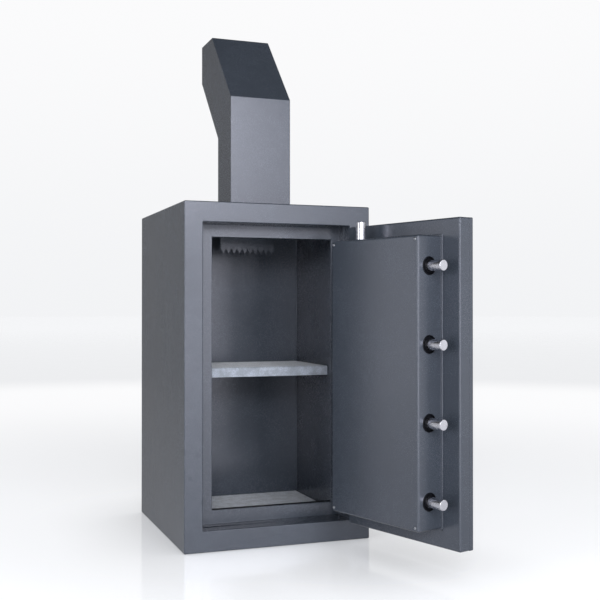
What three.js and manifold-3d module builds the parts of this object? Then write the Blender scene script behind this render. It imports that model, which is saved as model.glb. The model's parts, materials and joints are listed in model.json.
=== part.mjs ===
// Gooseneck safe: a one-door composite cabinet with a deposit duct that turns back over its roof.
// Millimetres, +Z up. The origin is the middle of the underside and the door faces -Y.
// It stands with its door open and its bolts thrown.

import * as THREE from 'three';
import { RoundedBoxGeometry } from 'three/addons/geometries/RoundedBoxGeometry.js';
import { mergeVertices } from 'three/addons/utils/BufferGeometryUtils.js';
import Module from 'manifold-3d';

const wasm = await Module();
wasm.setup();

// Clearances
const SEAT = 0.3;
const RUNNING = 0.5;

// How far a cutter runs past the face that it cuts
const PAST = 1;

// Facets round a full turn, on large and on small round pieces
const FACETS = 28;
const SMALL_FACETS = 16;

// Cabinet: outside size, then the walls from the outside to the chamber
const cabinet = { width: 508, depth: 546, height: 889, corner: 3, skin: 5 };
const wall = { left: 48.5, right: 56.5, roof: 52, floor: 54, rear: 134 };
const LINING_SHEET = 2.5;

// Jamb: where it starts behind the front, its lip, and how far the lip reaches in on each side
const jamb = { start: 43, lipFront: 76, lipThick: 10, left: 44, right: 23.5, top: 33, bottom: 35.5 };

// Door slab: gaps in the recess, outer plate, formed shell, and how far it stands open
const door = {
  openAngle: 107, inset: 18, thickness: 43.5, plate: 12, plateEdge: 2, sheet: 3, bend: 4.5,
  freeGap: 7, hingeGap: 3, topGap: 10, bottomGap: 7,
};

// Bolt pan on the back of the slab: margins to the slab's edges, depth, sheet and fixings
const pan = {
  freeMargin: 58, hingeMargin: 23, topMargin: 40.5, bottomMargin: 45, depth: 76, sheet: 3,
  bend: 6, foot: 2.5, footThick: 2, screwInset: 10,
};
const screw = { head: 3.6, headHeight: 2.2, rim: 0.6, domeFacets: 4, shank: 2.5, length: 14 };

// Locking bolts: round bars that slide in flanged bushings
const bolt = {
  radius: 12.7, chamfer: 1, throw: 40, reach: 45.5, standoff: 39.5, clearance: 0.4,
};
const sideBolts = { count: 4, endMargin: 111.5 };
const topBolt = { fromHingeSide: 71 };
const bushing = {
  radius: 21.5, flange: 25, flangeThick: 3, proud: 1, rim: 2.5, edge: 0.6, collar: 15.5, dish: 1.8,
};

// Boltwork behind the pan: guides, bar, links and the cam on the handle spindle
const guide = { thick: 6, behindEnd: 40, width: 66, margin: 22, topDrop: 44, topWidth: 50 };
const bar = { thick: 8, width: 40, margin: 14, lockGap: 4.2 };
const link = { thick: 6, width: 16 };
const cam = {
  thick: 6, radius: 40, boss: 14, pin: 5, pinProud: 1, slotPlay: 1.25, layerGap: 2, standoff: 10,
};

// Handle and dial on the outer face, placed from the slab's middle
const control = { towardsHinge: 19.5, handleDrop: 44, dialGap: 15 };
const handle = {
  hubRadius: 23, hubLength: 40, hubFace: 13.8, hubCrown: 20.2, crownDepth: 3, shoulderDepth: 9,
  gripDepth: 22, neckDepth: 28, hubNeck: 15, footRadius: 21, footHeight: 4, footEdge: 1, spokes: 3,
  spokeDepth: 13.8, spokeRoot: 6, spokeTip: 7.5, spokeSink: 10, spokeLength: 84, swell: 1, knob: 12,
  knobFacets: 6, spindle: 8,
};
const dial = {
  radius: 39, thick: 9, proud: 1, bevel: 7, bevelDepth: 4.2, knob: 15, knobLength: 26, flutes: 12,
  flute: 2.2, fluteFacets: 4, ringRadius: 50, ringThick: 12, ringBevel: 6, ringBevelDepth: 5,
  spindle: 4, spindleSink: 3,
};
const lockCase = { width: 62, height: 84, depth: 32, bore: 12, edge: 3 };

// Hinges: knuckle barrels outside the right stile
const hinge = {
  axisOut: 12.5, axisFromRecess: 29.5, spread: 490, barrel: 11, pin: 5, doorKnuckle: 40,
  frameKnuckle: 24, leafWidth: 22, leafThick: 6, strapThick: 6, strapFoot: 52, crankGap: 4.5,
  finial: 6, finialHeight: 4, finialLip: 1.5, finialEdge: 2,
};

// Shelf and carpets
const shelf = { rise: 376, thick: 22, sheet: 2, sideGap: 1.5, rearGap: 2, behindLip: 70 };
const carpet = { shelf: 4, floor: 6, edgeGap: 1.5, rollFacets: 5 };
const clip = { length: 30, leg: 24, thick: 2.5, tab: 20, inset: 40 };

// Gooseneck: a square duct that leans back at the slope and ends in an upright mouth
const neck = {
  width: 172, wall: 5, fromFront: 161, depth: 130, frontFold: 308, rearFold: 211, slope: 47,
  rise: 516, reach: 311,
};
const mouth = { width: 140, height: 78, centreDrop: 56 };
const flap = { width: 150, thick: 2.5, overlap: 6, knuckle: 6, pin: 3, gap: 0.6, topGap: 1.2, ear: 6 };
const baffle = { thick: 4, drop: 64, tooth: 14, count: 10, lap: 40 };

// Worked-out planes and frames, all from the values above
const front = -cabinet.depth / 2;
const recess = {
  x: [-cabinet.width / 2 + wall.left, cabinet.width / 2 - wall.right],
  z: [wall.floor, cabinet.height - wall.roof],
};
const opening = {
  x: [recess.x[0] + jamb.left, recess.x[1] - jamb.right],
  z: [recess.z[0] + jamb.bottom, recess.z[1] - jamb.top],
};
const jambFront = front + jamb.start;
const lipFront = front + jamb.lipFront;
const lipBack = lipFront + jamb.lipThick;
const chamberRear = cabinet.depth / 2 - wall.rear;
const slab = {
  x: [recess.x[0] + door.freeGap, recess.x[1] - door.hingeGap],
  y: [front + door.inset, front + door.inset + door.thickness],
  z: [recess.z[0] + door.bottomGap, recess.z[1] - door.topGap],
};
const slabMiddle = (slab.z[0] + slab.z[1]) / 2;
const panBox = {
  x: [slab.x[0] + pan.freeMargin, slab.x[1] - pan.hingeMargin],
  y: [slab.y[1] + SEAT, slab.y[1] + pan.depth],
  z: [slab.z[0] + pan.bottomMargin, slab.z[1] - pan.topMargin],
};
const boltY = slab.y[1] + bolt.standoff;
const topBoltX = panBox.x[1] - topBolt.fromHingeSide;
const hingeAxis = { x: recess.x[1] + hinge.axisFromRecess, y: front - hinge.axisOut };
const controlX = (slab.x[0] + slab.x[1]) / 2 + control.towardsHinge;
const handleZ = slabMiddle - control.handleDrop;

// The bolts end where the bar behind them, drawn back, stays clear of the lock case.
const barBack = controlX - lockCase.width / 2 - bar.lockGap;
const boltLength = barBack - bolt.throw - bar.thick - SEAT - panBox.x[0] + bolt.reach;
const spokeStart = handle.hubRadius - handle.spokeSink + SEAT;
const handleReach = spokeStart + handle.spokeLength + handle.knob;
const dialZ = handleZ + handleReach + control.dialGap + dial.ringRadius;

// Colours of the finishes
const finishes = {
  paint: { color: 0x5a5d69, roughness: 0.45, metalness: 0.2 },
  innerPaint: { color: 0x484b55, roughness: 0.5, metalness: 0.2 },
  chrome: { color: 0xd2d2da, roughness: 0.12, metalness: 1 },
  steel: { color: 0x8c8e92, roughness: 0.35, metalness: 0.9 },
  nylon: { color: 0x14151a, roughness: 0.55, metalness: 0 },
  carpet: { color: 0x8c95a0, roughness: 1, metalness: 0 },
  composite: { color: 0x9a978f, roughness: 0.95, metalness: 0 },
};

// Solids from three.js geometries
function solidOf(geometry) {
  const bare = geometry.clone();
  bare.deleteAttribute('normal');
  bare.deleteAttribute('uv');
  const merged = mergeVertices(bare);
  const index = merged.index.array;
  const triangles = [];
  for (let i = 0; i < index.length; i += 3) {
    const [a, b, c] = [index[i], index[i + 1], index[i + 2]];
    if (a !== b && b !== c && c !== a) triangles.push(a, b, c);
  }
  return new wasm.Manifold(new wasm.Mesh({
    numProp: 3,
    vertProperties: Float32Array.from(merged.attributes.position.array),
    triVerts: Uint32Array.from(triangles),
  }));
}

function geometryOf(solid) {
  const { vertProperties, triVerts } = solid.getMesh();
  const geometry = new THREE.BufferGeometry();
  geometry.setAttribute('position', new THREE.BufferAttribute(vertProperties, 3));
  geometry.setIndex(new THREE.BufferAttribute(triVerts, 1));
  geometry.computeVertexNormals();
  return geometry;
}

const middle = (range) => (range[0] + range[1]) / 2;
const span = (range) => range[1] - range[0];
const grow = (range, by) => [range[0] - by, range[1] + by];

function block(x, y, z) {
  const geometry = new THREE.BoxGeometry(span(x), span(y), span(z));
  geometry.translate(middle(x), middle(y), middle(z));
  return solidOf(geometry);
}

function roundedBlock(x, y, z, radius, segments = 3) {
  const geometry = new RoundedBoxGeometry(span(x), span(y), span(z), segments, radius);
  geometry.translate(middle(x), middle(y), middle(z));
  return solidOf(geometry);
}

// The outline is closed and given in (radius, along) pairs that run from the low end outwards.
function turned(outline, axis, segments = FACETS) {
  const geometry = new THREE.LatheGeometry(outline.map(([r, a]) => new THREE.Vector2(r, a)), segments);
  if (axis === 'x') geometry.rotateZ(-Math.PI / 2);
  if (axis === 'z') geometry.rotateX(Math.PI / 2);
  return solidOf(geometry);
}

function rod(radius, from, to, axis, segments = SMALL_FACETS) {
  return turned([[0, from], [radius, from], [radius, to], [0, to]], axis, segments);
}

// A flat outline swept along one axis: along x it is given in (y, z), along y in (x, z).
function prism(points, range, axis) {
  const shape = new THREE.Shape(points.map(([u, v]) => new THREE.Vector2(u, v)));
  return sweep(shape, range, axis);
}

function sweep(shape, range, axis, curveSegments = 12) {
  const geometry = new THREE.ExtrudeGeometry(shape, {
    depth: span(range), bevelEnabled: false, curveSegments,
  });
  if (axis === 'x') {
    geometry.translate(0, 0, range[0]);
    const along = new THREE.Matrix4().makeBasis(
      new THREE.Vector3(0, 1, 0), new THREE.Vector3(0, 0, 1), new THREE.Vector3(1, 0, 0),
    );
    geometry.applyMatrix4(along);
  } else if (axis === 'y') {
    geometry.translate(0, 0, -range[1]);
    geometry.rotateX(Math.PI / 2);
  } else {
    geometry.translate(0, 0, range[0]);
  }
  return solidOf(geometry);
}

// Moves every edge of a closed outline, given anticlockwise, inwards by the same distance.
function inset(points, distance) {
  const edges = points.map((point, i) => {
    const next = points[(i + 1) % points.length];
    const direction = new THREE.Vector2(next[0] - point[0], next[1] - point[1]).normalize();
    const shift = new THREE.Vector2(-direction.y, direction.x).multiplyScalar(distance);
    return { at: new THREE.Vector2(point[0], point[1]).add(shift), direction };
  });
  return edges.map((edge, i) => {
    const previous = edges[(i + edges.length - 1) % edges.length];
    const between = edge.at.clone().sub(previous.at);
    const turn = previous.direction.cross(edge.direction);
    const along = between.cross(edge.direction) / turn;
    const corner = previous.at.clone().addScaledVector(previous.direction, along);
    return [corner.x, corner.y];
  });
}

// Scene graph
function place(parent, name, solid, finish, position = [0, 0, 0]) {
  const material = new THREE.MeshStandardMaterial(finishes[finish]);
  const mesh = new THREE.Mesh(geometryOf(solid), material);
  mesh.name = name;
  mesh.position.set(...position);
  parent.add(mesh);
  return mesh;
}

const safe = new THREE.Group();
safe.name = 'gooseneck_safe';

// The door turns as one group about the hinge axis; its pieces are drawn in the closed place.
const doorTurn = new THREE.Group();
doorTurn.position.set(hingeAxis.x, hingeAxis.y, 0);
doorTurn.rotation.z = THREE.MathUtils.degToRad(door.openAngle);
const doorGroup = new THREE.Group();
doorGroup.position.set(-hingeAxis.x, -hingeAxis.y, 0);
doorTurn.add(doorGroup);
safe.add(doorTurn);

// Duct outline in (y, z), from its foot under the chamber ceiling to the mouth
const neckFront = front + neck.fromFront;
const neckRear = neckFront + neck.depth;
const neckEnd = neckFront + neck.reach;
const neckTop = cabinet.height + neck.rise;
const neckHalf = neck.width / 2;
const slopeTan = Math.tan(THREE.MathUtils.degToRad(neck.slope));
const frontFoldZ = cabinet.height + neck.frontFold;
const rearFoldZ = cabinet.height + neck.rearFold;

function neckOutline(footZ) {
  return [
    [neckFront, footZ],
    [neckRear, footZ],
    [neckRear, rearFoldZ],
    [neckEnd, rearFoldZ + (neckEnd - neckRear) * slopeTan],
    [neckEnd, neckTop],
    [neckFront + (neckTop - frontFoldZ) / slopeTan, neckTop],
    [neckFront, frontFoldZ],
  ];
}

function ductHole(gap) {
  return block(
    [-neckHalf - gap, neckHalf + gap],
    [neckFront - gap, neckRear + gap],
    [recess.z[1] - LINING_SHEET - neck.wall, cabinet.height + neck.wall],
  );
}

// Cabinet body
function cabinetShell() {
  const outside = {
    x: [-cabinet.width / 2, cabinet.width / 2],
    y: [front, cabinet.depth / 2],
    z: [0, cabinet.height],
  };
  const { skin, corner } = cabinet;
  const hollow = block(grow(outside.x, -skin), grow(outside.y, -skin), grow(outside.z, -skin));
  const returnWalls = block(grow(recess.x, skin), [front + skin / 2, jambFront], grow(recess.z, skin));
  const doorway = block(recess.x, [front - skin, jambFront + skin], recess.z);
  return roundedBlock(outside.x, outside.y, outside.z, corner)
    .subtract(hollow)
    .add(returnWalls)
    .subtract(doorway)
    .subtract(ductHole(SEAT));
}

function cabinetFill() {
  const { skin } = cabinet;
  const inside = skin + SEAT;
  const mass = block(
    [-cabinet.width / 2 + inside, cabinet.width / 2 - inside],
    [front + inside, cabinet.depth / 2 - inside],
    [inside, cabinet.height - inside],
  );
  const roundReturn = block(grow(recess.x, inside), [front, jambFront + SEAT], grow(recess.z, inside));
  const lining = LINING_SHEET + SEAT;
  const roundLining = block(grow(recess.x, lining), [front, chamberRear + lining], grow(recess.z, lining));
  return mass.subtract(roundReturn).subtract(roundLining).subtract(ductHole(SEAT));
}

function jambFrame() {
  const outer = block(
    grow(recess.x, LINING_SHEET), [jambFront + SEAT, lipBack], grow(recess.z, LINING_SHEET),
  );
  const pocket = block(recess.x, [jambFront, lipFront], recess.z);
  const through = block(opening.x, [jambFront, lipBack + LINING_SHEET], opening.z);
  return outer.subtract(pocket).subtract(through);
}

function innerLiner() {
  const outer = block(
    grow(recess.x, LINING_SHEET), [lipBack + SEAT, chamberRear + LINING_SHEET],
    grow(recess.z, LINING_SHEET),
  );
  return outer
    .subtract(block(recess.x, [lipBack, chamberRear], recess.z))
    .subtract(ductHole(SEAT));
}

place(safe, 'cabinet_shell', cabinetShell(), 'paint');
place(safe, 'cabinet_fill', cabinetFill(), 'composite');
place(safe, 'jamb_frame', jambFrame(), 'paint');
place(safe, 'inner_liner', innerLiner(), 'innerPaint');

// Gooseneck duct with its mouth plate and the two bearings of the flap pin
const mouthZ = [neckTop - mouth.centreDrop - mouth.height / 2, neckTop - mouth.centreDrop + mouth.height / 2];
const flapAxis = {
  y: neckEnd - neck.wall - flap.gap - flap.knuckle,
  z: neckTop - neck.wall - flap.topGap - flap.knuckle,
};
const boreHalf = neckHalf - neck.wall;

function gooseneckHousing() {
  const hollowOutline = inset(neckOutline(recess.z[1]), neck.wall);
  hollowOutline[0][1] -= 2 * neck.wall;
  hollowOutline[1][1] -= 2 * neck.wall;
  const hollow = prism(hollowOutline, [-boreHalf, boreHalf], 'x');
  const window = block(
    [-mouth.width / 2, mouth.width / 2], [neckEnd - 2 * neck.wall, neckEnd + neck.wall], mouthZ,
  );
  let housing = prism(neckOutline(recess.z[1]), [-neckHalf, neckHalf], 'x').subtract(hollow);
  const pinBore = rod(flap.pin + SEAT, -boreHalf, boreHalf, 'x').translate(0, flapAxis.y, flapAxis.z);
  for (const side of [-1, 1]) {
    const ends = [side * boreHalf, side * (boreHalf - flap.ear)].sort((a, b) => a - b);
    const ear = block(
      [ends[0] - (side < 0 ? neck.wall / 2 : 0), ends[1] + (side > 0 ? neck.wall / 2 : 0)],
      [flapAxis.y - flap.knuckle, neckEnd - neck.wall / 2],
      [flapAxis.z - flap.knuckle, neckTop - neck.wall / 2],
    );
    housing = housing.add(ear);
  }
  return housing.subtract(window).subtract(pinBore);
}

function dropFlap() {
  const half = flap.width / 2;
  const plateFace = flapAxis.y + flap.knuckle;
  const plate = block(
    [-half, half], [plateFace - flap.thick, plateFace], [mouthZ[0] - flap.overlap, flapAxis.z],
  );
  const knuckle = rod(flap.knuckle, -half, half, 'x').translate(0, flapAxis.y, flapAxis.z);
  const bore = rod(flap.pin + SEAT, -half - PAST, half + PAST, 'x').translate(0, flapAxis.y, flapAxis.z);
  return plate.add(knuckle).subtract(bore);
}

// Saw-tooth plate on the rear wall of the duct, teeth down into the chamber
function fishBaffle() {
  const half = boreHalf - RUNNING;
  const tipZ = recess.z[1] - baffle.drop;
  const rootZ = tipZ + baffle.tooth;
  const pitch = (2 * half) / baffle.count;
  const outline = [[-half, recess.z[1] + baffle.lap], [-half, rootZ]];
  for (let i = 0; i < baffle.count; i += 1) {
    outline.push([-half + (i + 0.5) * pitch, tipZ]);
    outline.push([-half + (i + 1) * pitch, rootZ]);
  }
  outline.push([half, recess.z[1] + baffle.lap]);
  const rear = neckRear - neck.wall - SEAT;
  return prism(outline, [rear - baffle.thick, rear], 'y');
}

place(safe, 'gooseneck_housing', gooseneckHousing(), 'paint');
place(safe, 'fish_baffle', fishBaffle(), 'innerPaint');
place(safe, 'drop_flap', dropFlap(), 'steel');
place(safe, 'flap_pin', rod(flap.pin, SEAT - boreHalf, boreHalf - SEAT, 'x'), 'steel',
  [0, flapAxis.y, flapAxis.z]);

// Shelf on four clips, and the carpets
const chamberFloor = recess.z[0];
const shelfBottom = chamberFloor + shelf.rise;
const shelfX = grow(recess.x, -shelf.sideGap);
const shelfY = [lipBack + shelf.behindLip, chamberRear - shelf.rearGap];

function shelfBoard() {
  const tray = block(shelfX, [shelfY[0] + carpet.shelf, shelfY[1]], [shelfBottom, shelfBottom + shelf.thick]);
  const under = block(
    grow(shelfX, -shelf.sheet),
    [shelfY[0] + carpet.shelf + shelf.sheet, shelfY[1] - shelf.sheet],
    [shelfBottom - shelf.sheet, shelfBottom + shelf.thick - shelf.sheet],
  );
  return tray.subtract(under);
}

// The carpet lies on the board and turns down over its front edge.
function shelfCarpet() {
  const top = shelfBottom + shelf.thick + SEAT;
  const roll = carpet.shelf;
  const outline = new THREE.Shape();
  outline.moveTo(shelfY[0] - SEAT, shelfBottom);
  outline.lineTo(shelfY[0] - SEAT + roll, shelfBottom);
  outline.lineTo(shelfY[0] - SEAT + roll, top);
  outline.lineTo(shelfY[1], top);
  outline.lineTo(shelfY[1], top + roll);
  outline.lineTo(shelfY[0] - SEAT + roll, top + roll);
  outline.absarc(shelfY[0] - SEAT + roll, top, roll, Math.PI / 2, Math.PI, false);
  outline.closePath();
  return sweep(outline, shelfX, 'x', carpet.rollFacets);
}

function shelfClip(side) {
  const wallX = side < 0 ? recess.x[0] + SEAT : recess.x[1] - SEAT;
  const outline = [
    [0, 0], [clip.tab, 0], [clip.tab, clip.thick], [clip.thick, clip.thick],
    [clip.thick, clip.leg], [0, clip.leg],
  ];
  const angle = outline.map(([u, v]) => [wallX - side * u, shelfBottom - SEAT - v]);
  return prism(side > 0 ? angle : angle.reverse(), [-clip.length / 2, clip.length / 2], 'y');
}

place(safe, 'shelf_board', shelfBoard(), 'innerPaint');
place(safe, 'shelf_carpet', shelfCarpet(), 'carpet');
const clipY = [shelfY[0] + clip.inset, shelfY[1] - clip.inset];
[-1, 1].forEach((side, column) => {
  clipY.forEach((y, row) => {
    place(safe, `shelf_clip_${column * 2 + row + 1}`, shelfClip(side), 'steel', [0, y, 0]);
  });
});

place(safe, 'floor_carpet', block(
  grow(recess.x, -carpet.edgeGap),
  [lipBack + carpet.edgeGap, chamberRear - carpet.edgeGap],
  [chamberFloor + SEAT, chamberFloor + carpet.floor],
), 'carpet');

// Hinges: the fixed leaf has two knuckles, and the door strap's knuckle turns between them
function hingeFrame() {
  const half = hinge.doorKnuckle / 2 + RUNNING + hinge.frameKnuckle;
  const face = hinge.axisOut - SEAT;
  const leaf = block([0, hinge.leafWidth], [face - hinge.leafThick, face], [-half, half]);
  const barrel = rod(hinge.barrel, -half, half, 'z');
  const gap = hinge.doorKnuckle / 2 + RUNNING;
  const middleGap = rod(hinge.barrel + 2 * RUNNING, -gap, gap, 'z');
  return leaf.add(barrel)
    .subtract(middleGap)
    .subtract(rod(hinge.pin + RUNNING, -half - PAST, half + PAST, 'z'));
}

function hingePin() {
  const half = hinge.doorKnuckle / 2 + RUNNING + hinge.frameKnuckle;
  const cap = half + SEAT;
  const end = cap + hinge.finialHeight;
  const rim = hinge.finial + hinge.finialLip;
  return turned([
    [0, -end], [hinge.finial, -end], [rim, hinge.finialEdge - end], [rim, -cap],
    [hinge.pin, -cap], [hinge.pin, half], [0, half],
  ], 'z', SMALL_FACETS);
}

// Strap outline in (x, y) from the hinge axis: out of the recess, then across the slab's face
function hingeStrap() {
  const half = hinge.doorKnuckle / 2;
  const t = hinge.strapThick;
  const crank = recess.x[1] - hinge.crankGap - hingeAxis.x;
  const foot = slab.y[0] - SEAT - hingeAxis.y;
  const strap = prism([
    [0, -t / 2], [0, t / 2], [crank, t / 2], [crank, foot], [crank - hinge.strapFoot, foot],
    [crank - hinge.strapFoot, foot - t], [crank - t, foot - t], [crank - t, -t / 2],
  ], [-half, half], 'z');
  return strap.add(rod(hinge.barrel, -half, half, 'z'))
    .subtract(rod(hinge.pin + RUNNING, -half - PAST, half + PAST, 'z'));
}

const hingeHeights = { lower: slabMiddle - hinge.spread / 2, upper: slabMiddle + hinge.spread / 2 };
for (const [level, z] of Object.entries(hingeHeights)) {
  const at = [hingeAxis.x, hingeAxis.y, z];
  place(safe, `hinge_frame_${level}`, hingeFrame(), 'paint', at);
  place(safe, `hinge_pin_${level}`, hingePin(), 'steel', at);
  place(doorGroup, `hinge_strap_${level}`, hingeStrap(), 'paint', at);
}

// Door slab: outer plate, formed shell behind it and the composite block between them
const spindleBore = rod(handle.spindle + RUNNING, slab.y[0] - PAST, slab.y[1] + PAST, 'y')
  .translate(controlX, 0, handleZ);
const dialBore = rod(dial.spindle + RUNNING, slab.y[0] - PAST, slab.y[1] + PAST, 'y')
  .translate(controlX, 0, dialZ);
const plateBack = slab.y[0] + door.plate;

function doorPlate() {
  return roundedBlock(slab.x, [slab.y[0], plateBack + door.plate], slab.z, door.plateEdge)
    .subtract(block(grow(slab.x, PAST), [plateBack, plateBack + 2 * door.plate], grow(slab.z, PAST)))
    .subtract(spindleBore)
    .subtract(dialBore);
}

function doorShell() {
  const { sheet, bend } = door;
  const shell = roundedBlock(slab.x, [slab.y[0], slab.y[1]], slab.z, bend)
    .subtract(block(grow(slab.x, PAST), [slab.y[0] - PAST, plateBack + SEAT], grow(slab.z, PAST)));
  const pocket = block(grow(slab.x, -sheet), [slab.y[0], slab.y[1] - sheet], grow(slab.z, -sheet));
  return shell.subtract(pocket).subtract(spindleBore).subtract(dialBore);
}

function doorFill() {
  const margin = door.sheet + SEAT;
  return block(grow(slab.x, -margin), [plateBack + SEAT, slab.y[1] - margin], grow(slab.z, -margin))
    .subtract(spindleBore)
    .subtract(dialBore);
}

place(doorGroup, 'door_plate', doorPlate(), 'paint');
place(doorGroup, 'door_shell', doorShell(), 'paint');
place(doorGroup, 'door_fill', doorFill(), 'composite');

// Bolt pan with its narrow foot, the holes for the bushings and the screw holes
const boltPitch = (span(slab.z) - 2 * sideBolts.endMargin) / (sideBolts.count - 1);
const lowestBolt = slab.z[0] + sideBolts.endMargin;
const boltZs = Array.from({ length: sideBolts.count }, (_, i) => lowestBolt + i * boltPitch);
const screwPlaces = [
  [panBox.x[0] + pan.screwInset, panBox.z[0] + pan.screwInset],
  [panBox.x[0] + pan.screwInset, panBox.z[1] - pan.screwInset],
  [panBox.x[1] - pan.screwInset, panBox.z[0] + pan.screwInset],
  [panBox.x[1] - pan.screwInset, panBox.z[1] - pan.screwInset],
];

function boltPan() {
  const { sheet, bend, foot, footThick, depth } = pan;
  const deep = [panBox.y[0] - depth, panBox.y[1]];
  const behind = block(grow(panBox.x, PAST), [deep[0] - PAST, panBox.y[0]], grow(panBox.z, PAST));
  const footPlate = block(grow(panBox.x, foot), [panBox.y[0], panBox.y[0] + footThick], grow(panBox.z, foot));
  const hollow = roundedBlock(
    grow(panBox.x, -sheet), [deep[0], panBox.y[1] - sheet], grow(panBox.z, -sheet), bend - sheet, 2,
  );
  let cover = roundedBlock(panBox.x, deep, panBox.z, bend)
    .subtract(behind)
    .add(footPlate)
    .subtract(hollow);
  const hole = bushing.radius + SEAT;
  for (const z of boltZs) {
    const bore = rod(hole, panBox.x[0] - sheet, panBox.x[0] + 2 * sheet, 'x', FACETS);
    cover = cover.subtract(bore.translate(0, boltY, z));
  }
  const topBore = rod(hole, panBox.z[1] - 2 * sheet, panBox.z[1] + sheet, 'z', FACETS);
  cover = cover.subtract(topBore.translate(topBoltX, boltY, 0));
  for (const [x, z] of screwPlaces) {
    const screwHole = rod(screw.shank + SEAT, panBox.y[1] - 2 * sheet, panBox.y[1] + sheet, 'y');
    cover = cover.subtract(screwHole.translate(x, 0, z));
  }
  return cover;
}

// Local frame of a fixing: y = 0 is the pan's face, with the head on the +Y side
function panScrew() {
  const { head, headHeight, rim, domeFacets, shank, length } = screw;
  const outline = [[0, -length], [shank, -length], [shank, SEAT], [head, SEAT]];
  for (let i = 0; i < domeFacets; i += 1) {
    const a = (Math.PI / 2) * (i / domeFacets);
    outline.push([head * Math.cos(a), SEAT + rim + (headHeight - rim) * Math.sin(a)]);
  }
  outline.push([0, SEAT + headHeight]);
  return turned(outline, 'y', SMALL_FACETS);
}

function panPillar() {
  const top = panBox.y[1] - pan.sheet - SEAT;
  const chamfer = (pan.bend - pan.sheet) / 3;
  const radius = pan.screwInset - pan.sheet - 3 * RUNNING;
  const pillar = turned([
    [0, slab.y[1] + SEAT], [radius, slab.y[1] + SEAT], [radius, top - chamfer], [radius - chamfer, top],
    [0, top],
  ], 'y', SMALL_FACETS);
  const depth = screw.length - pan.sheet;
  return pillar.subtract(rod(screw.shank + SEAT, top - depth, top + PAST, 'y'));
}

place(doorGroup, 'bolt_pan', boltPan(), 'paint');
screwPlaces.forEach(([x, z], i) => {
  place(doorGroup, `pan_screw_${i + 1}`, panScrew(), 'paint', [x, panBox.y[1], z]);
  place(doorGroup, `pan_pillar_${i + 1}`, panPillar(), 'steel', [x, 0, z]);
});

// Round bolts and their bushings: local axis x, with the tip or the outer face towards -X
function roundBolt() {
  const { radius, chamfer } = bolt;
  return turned([
    [0, 0], [radius - chamfer, 0], [radius, chamfer], [radius, boltLength], [0, boltLength],
  ], 'x');
}

function boltBushing() {
  const { radius, flange, flangeThick, proud, rim, edge, collar, dish } = bushing;
  const bore = bolt.radius + bolt.clearance;
  const inner = pan.sheet + SEAT;
  return turned([
    [bore, -proud], [collar, -proud], [collar, dish - proud], [radius - rim, dish - proud],
    [radius - rim, -proud], [radius - edge, -proud], [radius, edge - proud], [radius, inner],
    [flange, inner], [flange, inner + flangeThick], [bore, inner + flangeThick], [bore, -proud],
  ], 'x');
}

const turnUp = (mesh) => mesh.rotateY(Math.PI / 2);

boltZs.forEach((z, i) => {
  place(doorGroup, `side_bolt_${i + 1}`, roundBolt(), 'chrome', [panBox.x[0] - bolt.reach, boltY, z]);
  place(doorGroup, `bolt_bushing_${i + 1}`, boltBushing(), 'nylon', [panBox.x[0], boltY, z]);
});
turnUp(place(doorGroup, 'top_bolt', roundBolt(), 'chrome', [topBoltX, boltY, panBox.z[1] + bolt.reach]));
turnUp(place(doorGroup, 'top_bolt_bushing', boltBushing(), 'nylon', [topBoltX, boltY, panBox.z[1]]));

// Guides for the inner ends of the bolts
const guideX = [panBox.x[0] + guide.behindEnd, panBox.x[0] + guide.behindEnd + guide.thick];
const guideZ = grow([boltZs[0], boltZs[boltZs.length - 1]], guide.margin);
const guideY = [slab.y[1] + SEAT, slab.y[1] + SEAT + guide.width];
const guideBore = bolt.radius + RUNNING;

function boltGuide() {
  let plate = block(guideX, guideY, guideZ);
  for (const z of boltZs) {
    const bore = rod(guideBore, guideX[0] - PAST, guideX[1] + PAST, 'x', FACETS);
    plate = plate.subtract(bore.translate(0, boltY, z));
  }
  return plate;
}

function topBoltGuide() {
  const top = panBox.z[1] - guide.topDrop;
  const half = guide.topWidth / 2;
  const plate = block([topBoltX - half, topBoltX + half], guideY, [top - guide.thick, top]);
  const bore = rod(guideBore, top - guide.thick - PAST, top + PAST, 'z', FACETS);
  return plate.subtract(bore.translate(topBoltX, boltY, 0));
}

place(doorGroup, 'bolt_guide', boltGuide(), 'steel');
place(doorGroup, 'top_bolt_guide', topBoltGuide(), 'steel');

// Cam: two pins a quarter turn apart, one draws the bar sideways and one draws the top link down
const pinCircle = bolt.throw / Math.SQRT2;
const half = bolt.throw / 2;
const camY = [slab.y[1] + cam.standoff, slab.y[1] + cam.standoff + cam.thick];
const barLayer = [camY[1] + cam.layerGap, camY[1] + cam.layerGap + link.thick];
const linkLayer = [barLayer[1] + cam.layerGap, barLayer[1] + cam.layerGap + link.thick];
const slotHalf = cam.pin + cam.slotPlay;
const slotReach = [half - cam.pin - cam.layerGap, pinCircle + cam.pin + cam.layerGap];

function camPlate() {
  const plate = rod(cam.radius, camY[0], camY[1], 'y', FACETS);
  const boss = rod(cam.boss, slab.y[1] + SEAT, camY[1], 'y');
  const barPin = rod(cam.pin, camY[0], barLayer[1] + cam.pinProud, 'y').translate(-half, 0, half);
  const linkPin = rod(cam.pin, camY[0], linkLayer[1] + cam.pinProud, 'y').translate(half, 0, half);
  return plate.add(boss).add(barPin).add(linkPin)
    .subtract(rod(handle.spindle + SEAT, slab.y[1] - PAST, camY[1] + PAST, 'y'));
}

const barX = [barBack - bolt.throw - bar.thick, barBack - bolt.throw];

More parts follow.
